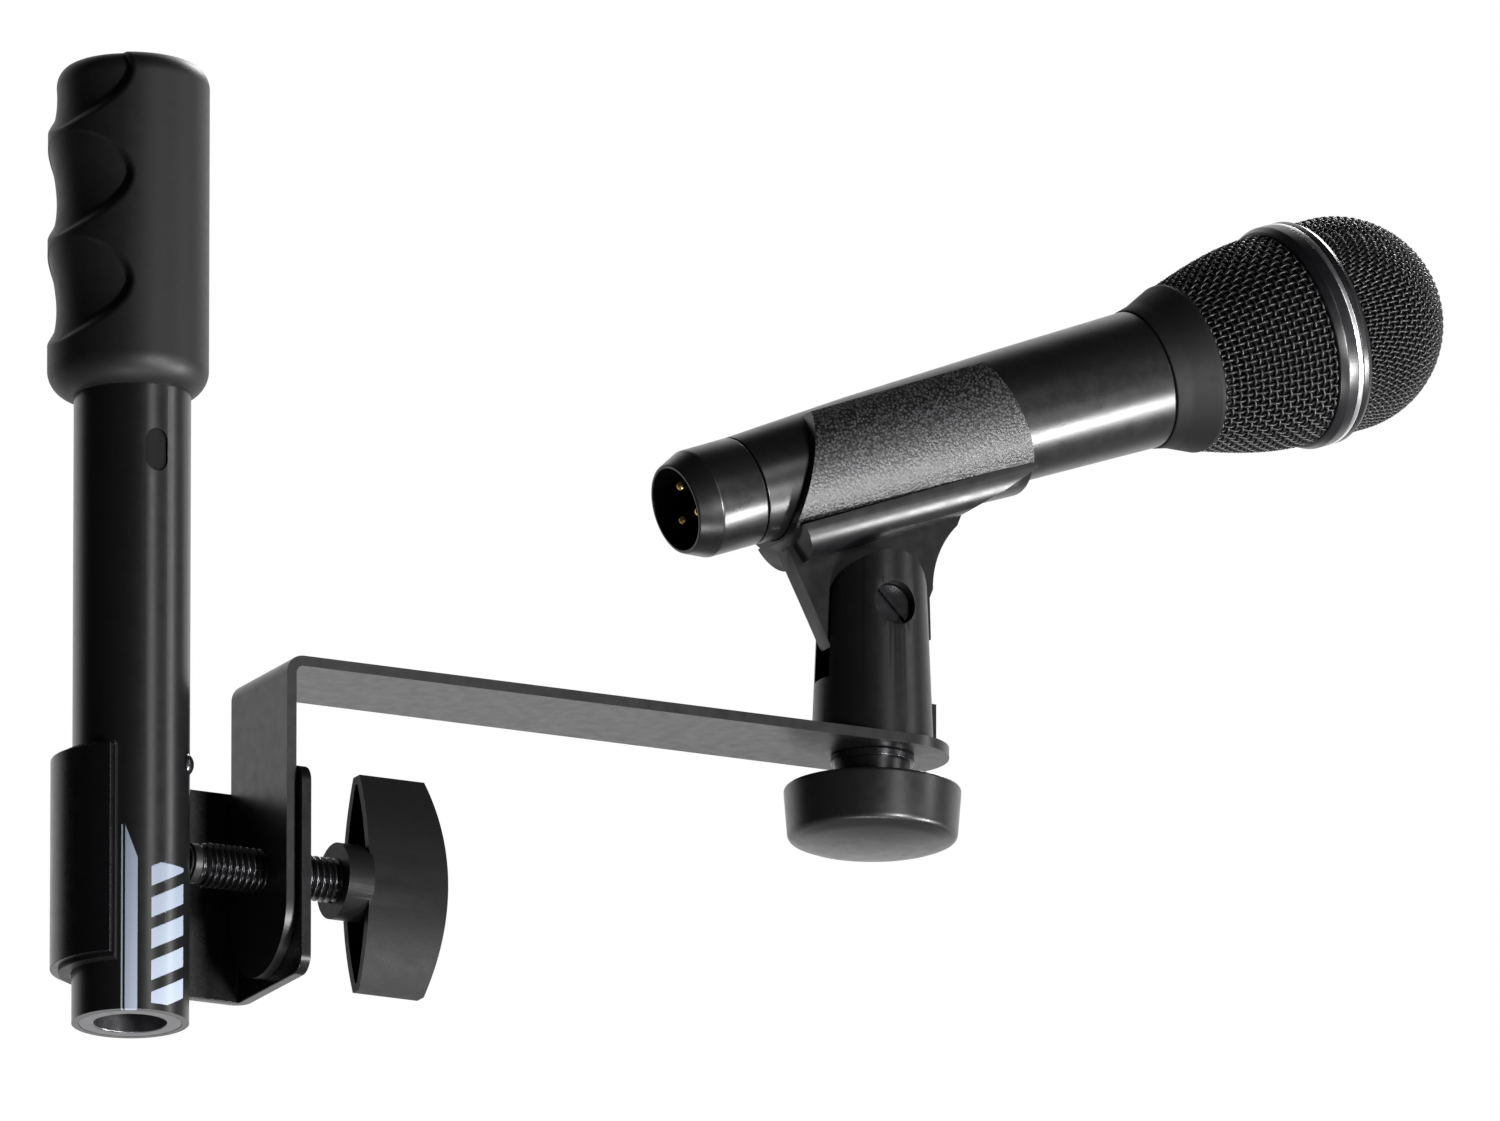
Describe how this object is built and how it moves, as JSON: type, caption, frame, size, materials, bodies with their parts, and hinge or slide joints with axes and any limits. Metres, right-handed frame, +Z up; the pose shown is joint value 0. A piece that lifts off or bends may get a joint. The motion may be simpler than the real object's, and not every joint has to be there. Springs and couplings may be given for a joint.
{
  "type": "boom microphone stand",
  "caption": "Clamp-on boom arm on a one-inch upright with a finger-grooved grip; bent flat bar, tightening knobs, tilting clip and a handheld vocal microphone.",
  "frame": {"origin": "centre of the upright's lower end, at the mouth of its threaded socket", "axes": "+Z up the upright, +X along the boom arm"},
  "size_m": [0.3335, 0.05, 0.2156],
  "materials": {
    "tube_paint": "semi-gloss black powder coat",
    "grip_rubber": "soft matt black rubber",
    "black_plastic": "fine-grained black moulding",
    "dark_fastener": "black oxide steel",
    "zinc_steel": "zinc-plated steel",
    "saddle_vinyl": "black vinyl",
    "clamp_paint": "gloss black powder coat",
    "bar_paint": "satin dark grey powder coat",
    "nylon": "black nylon",
    "clip_plastic": "semi-gloss black nylon",
    "cradle_plastic": "coarse-grained black nylon",
    "brass": "turned brass",
    "handle_paint": "satin black enamel",
    "connector_plastic": "black moulding",
    "gold_pins": "gold-plated brass",
    "mesh_steel": "dark woven steel wire",
    "trim_chrome": "polished chrome",
    "foam": "open-cell dark foam",
    "capsule_metal": "satin aluminium",
    "mount_rubber": "black rubber"
  },
  "bodies": {
    "upright": {"upright_tube": "tube_paint", "hand_grip": "grip_rubber", "top_plug": "black_plastic", "slot_key": "black_plastic", "tube_rivet": "dark_fastener", "base_insert": "zinc_steel"},
    "saddle": {"clamp_saddle": "saddle_vinyl"},
    "clamp": {"clamp_channel": "clamp_paint", "boom_bar": "bar_paint"},
    "feed": {"pressure_tip": "nylon"},
    "screw": {"clamp_bolt": "dark_fastener", "clamp_knob": "black_plastic"},
    "post": {"post_knob": "black_plastic", "post_stud": "dark_fastener", "post_washer": "dark_fastener"},
    "clip": {"clip_base": "clip_plastic", "thread_bush": "brass", "pivot_screw": "dark_fastener", "pivot_nut": "zinc_steel"},
    "cradle": {"clip_cradle": "cradle_plastic", "pivot_washers": "zinc_steel"},
    "microphone": {"mic_handle": "handle_paint", "tail_sleeve": "handle_paint", "xlr_insert": "connector_plastic", "xlr_pins": "gold_pins", "set_screw": "dark_fastener", "grille_lower": "mesh_steel", "grille_ring": "handle_paint", "trim_ring": "trim_chrome", "grille_dome": "mesh_steel", "foam_screen": "foam", "mic_capsule": "capsule_metal", "capsule_mount": "mount_rubber"}
  },
  "joints": [
    {"name": "clamp_height", "type": "slide", "parent": "upright", "child": "saddle", "axis": [0, 0, 1], "range_m": [-0.01, 0.078]},
    {"name": "boom_swivel", "type": "hinge", "parent": "saddle", "child": "clamp", "pos_m": [0, 0, 0.035], "axis": [0, 0, 1], "range_deg": [-105, 65]},
    {"name": "clamp_feed", "type": "slide", "parent": "clamp", "child": "feed", "axis": [1, 0, 0], "range_m": [0, 0.0115]},
    {"name": "clamp_turn", "type": "hinge", "parent": "feed", "child": "screw", "pos_m": [0.045, 0, 0.0374], "axis": [1, 0, 0], "range_deg": [0, 2765]},
    {"name": "post_knob_turn", "type": "hinge", "parent": "clamp", "child": "post", "pos_m": [0.178, 0, 0.07], "axis": [0, 0, 1], "continuous": true},
    {"name": "clip_swivel", "type": "hinge", "parent": "clamp", "child": "clip", "pos_m": [0.178, 0, 0.09], "axis": [0, 0, 1], "range_deg": [-130, 130]},
    {"name": "clip_tilt", "type": "hinge", "parent": "clip", "child": "cradle", "pos_m": [0.178, 0, 0.1123], "axis": [0, 1, 0], "range_deg": [-38, 78]},
    {"name": "mic_pull", "type": "slide", "parent": "cradle", "child": "microphone", "axis": [0.9342, 0, 0.3567], "range_m": [0, 0.09]}
  ],
  "couplings": [
    {"joint": "clamp_turn", "follows": "clamp_feed", "rad_per_m": 4188.8}
  ]
}
